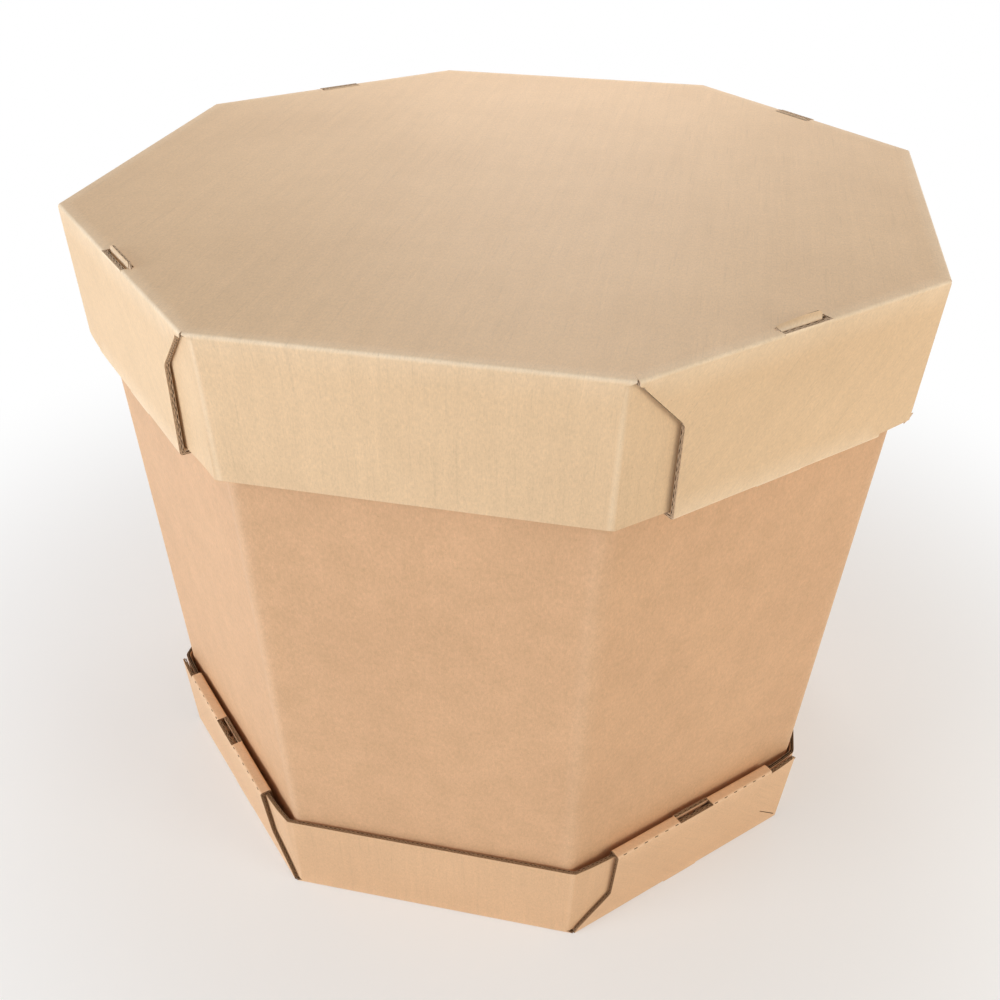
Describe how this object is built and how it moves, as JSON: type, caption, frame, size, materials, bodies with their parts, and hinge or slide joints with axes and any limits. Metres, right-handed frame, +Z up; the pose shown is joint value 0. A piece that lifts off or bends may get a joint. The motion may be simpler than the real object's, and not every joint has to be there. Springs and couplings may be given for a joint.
{
  "type": "triple wall corrugated box",
  "caption": "Octagonal bulk box of heavy corrugated board: a sleeve that stands in a folded base tray, closed by a lift-off lid with rolled-over rims.",
  "frame": {"origin": "middle of the base tray's underside, on the floor", "axes": "+Z up; the front is a single-board wall and looks along -Y; the left and right walls lie along X"},
  "size_m": [1.1606, 1.1966, 1.0082],
  "materials": {
    "tray_board": "matt kraft liner, raw flutes at the cut edges",
    "sleeve_board": "matt brown kraft liner, slightly mottled",
    "lid_board": "matt light kraft liner, raw flutes at the cut edges"
  },
  "bodies": {
    "box": {"base_tray": "tray_board", "sleeve": "sleeve_board"},
    "lid": {"lid": "lid_board"}
  },
  "joints": [
    {"name": "lid_lift", "type": "slide", "parent": "box", "child": "lid", "axis": [0, 0, 1], "range_m": [0, 0.25]}
  ]
}
